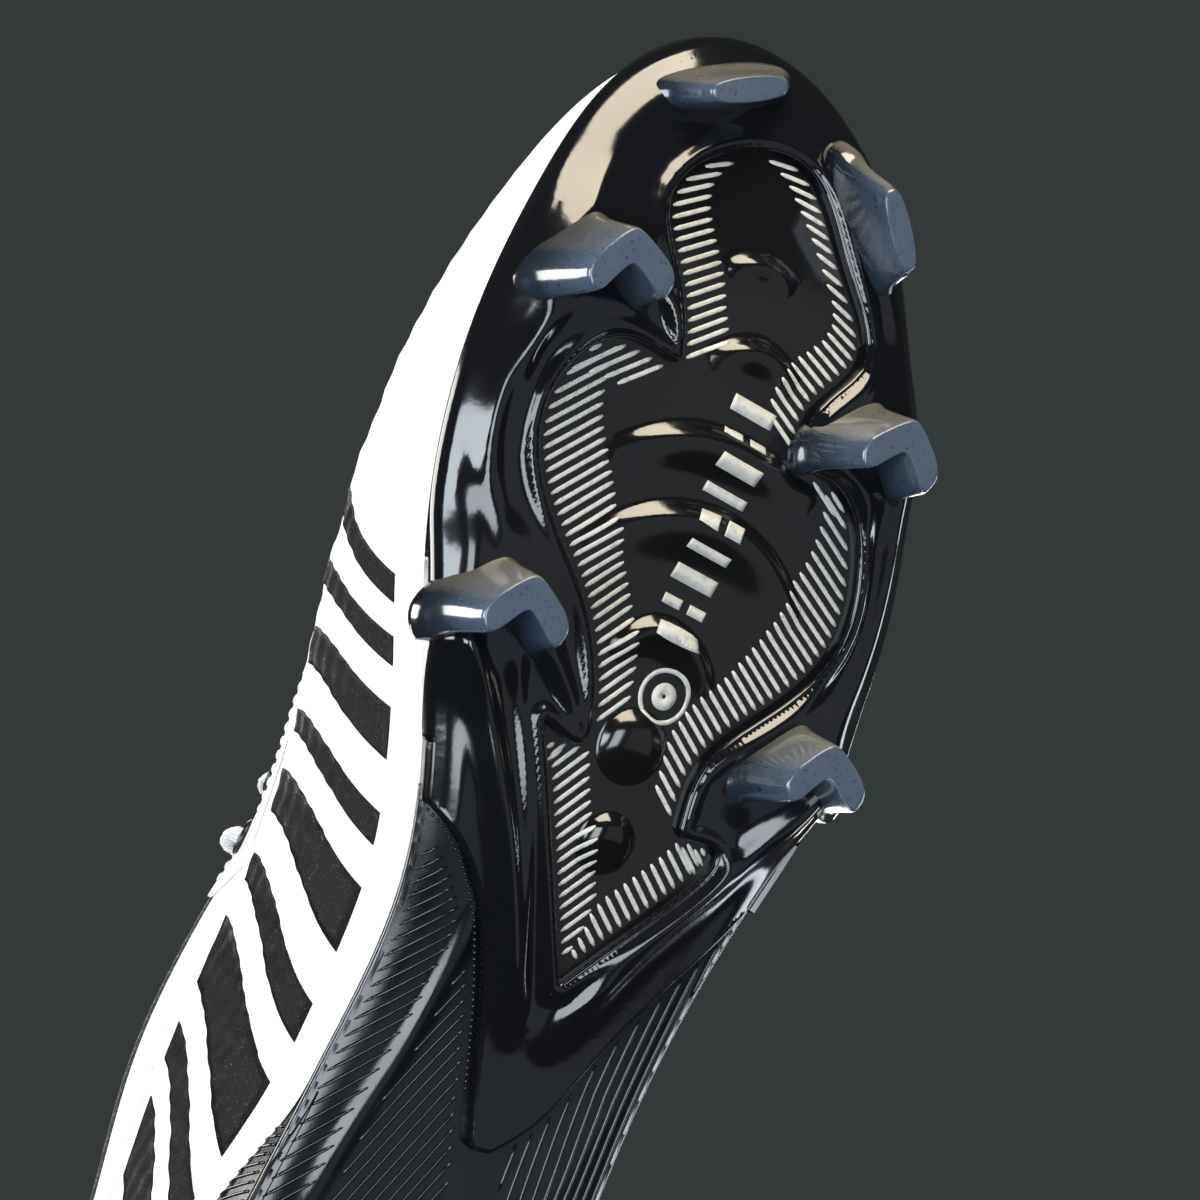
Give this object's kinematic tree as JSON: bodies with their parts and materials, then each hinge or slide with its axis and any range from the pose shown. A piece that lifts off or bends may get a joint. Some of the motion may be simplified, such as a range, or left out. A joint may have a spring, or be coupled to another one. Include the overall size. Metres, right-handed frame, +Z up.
{
  "type": "soccer cleat",
  "caption": "Left lace-up soccer cleat: white knit upper on a glossy black moulded outsole with smoky translucent chevron studs, padded tongue and collar.",
  "frame": {"origin": "bottom centre of the shoe's bounding box, with the studs' contact faces on z = 0", "axes": "+X towards the toe, +Y towards the lateral (outer) side of this left shoe, +Z up"},
  "size_m": [0.2841, 0.0894, 0.119],
  "materials": {
    "outsole_black": "glossy near-black smoked TPU",
    "panel_black": "glossy black window panel with printed hatching",
    "stud_smoke": "cloudy translucent smoke-blue TPU",
    "board_fibre": "stitched fibre board",
    "liner_fabric": "brushed knit over foam",
    "knit_white": "white fine knit",
    "stiffener_sheet": "moulded thermoplastic sheet",
    "collar_fabric": "dark padded lining knit",
    "overlay_film": "white satin overlay film",
    "eyelet_metal": "dark punched-eyelet reinforcement",
    "tongue_fabric": "dark padded knit",
    "lace_white": "flat woven white lace",
    "aglet_plastic": "clear plastic tip",
    "tab_webbing": "woven webbing"
  },
  "bodies": {
    "shoe": {"forefoot_plate": "outsole_black", "window_panel": "panel_black", "rear_plate": "outsole_black", "toe_stud": "stud_smoke", "lateral_front_stud": "stud_smoke", "lateral_middle_stud": "stud_smoke", "lateral_rear_stud": "stud_smoke", "medial_front_stud": "stud_smoke", "medial_rear_stud": "stud_smoke", "heel_medial_front_stud": "stud_smoke", "heel_lateral_front_stud": "stud_smoke", "heel_medial_rear_stud": "stud_smoke", "heel_lateral_rear_stud": "stud_smoke", "insole_board": "board_fibre", "upper": "knit_white", "toe_puff": "stiffener_sheet", "heel_counter": "stiffener_sheet", "collar_padding": "collar_fabric", "eyestay_medial": "overlay_film", "eyestay_lateral": "overlay_film", "eyelet_rings": "eyelet_metal", "lace": "lace_white", "lace_aglet": "aglet_plastic", "lace_knot": "lace_white"},
    "tongue": {"tongue": "tongue_fabric"},
    "sock_liner": {"sock_liner": "liner_fabric"},
    "heel_tab": {"heel_tab": "tab_webbing"}
  },
  "joints": [
    {"name": "tongue_tilt", "type": "hinge", "parent": "shoe", "child": "tongue", "pos_m": [0.062, -0.0015, 0.0575], "axis": [0, -1, 0], "range_deg": [0, 10], "stiffness_Nm_per_rad": 0.6},
    {"name": "sock_liner_lift", "type": "hinge", "parent": "shoe", "child": "sock_liner", "pos_m": [0.1335, -0.005, 0.032], "axis": [0, 1, 0], "range_deg": [0, 5]},
    {"name": "heel_tab_fold", "type": "hinge", "parent": "shoe", "child": "heel_tab", "pos_m": [-0.128, -0.005, 0.104], "axis": [0, -1, 0], "range_deg": [-25, 60], "stiffness_Nm_per_rad": 0.02}
  ]
}
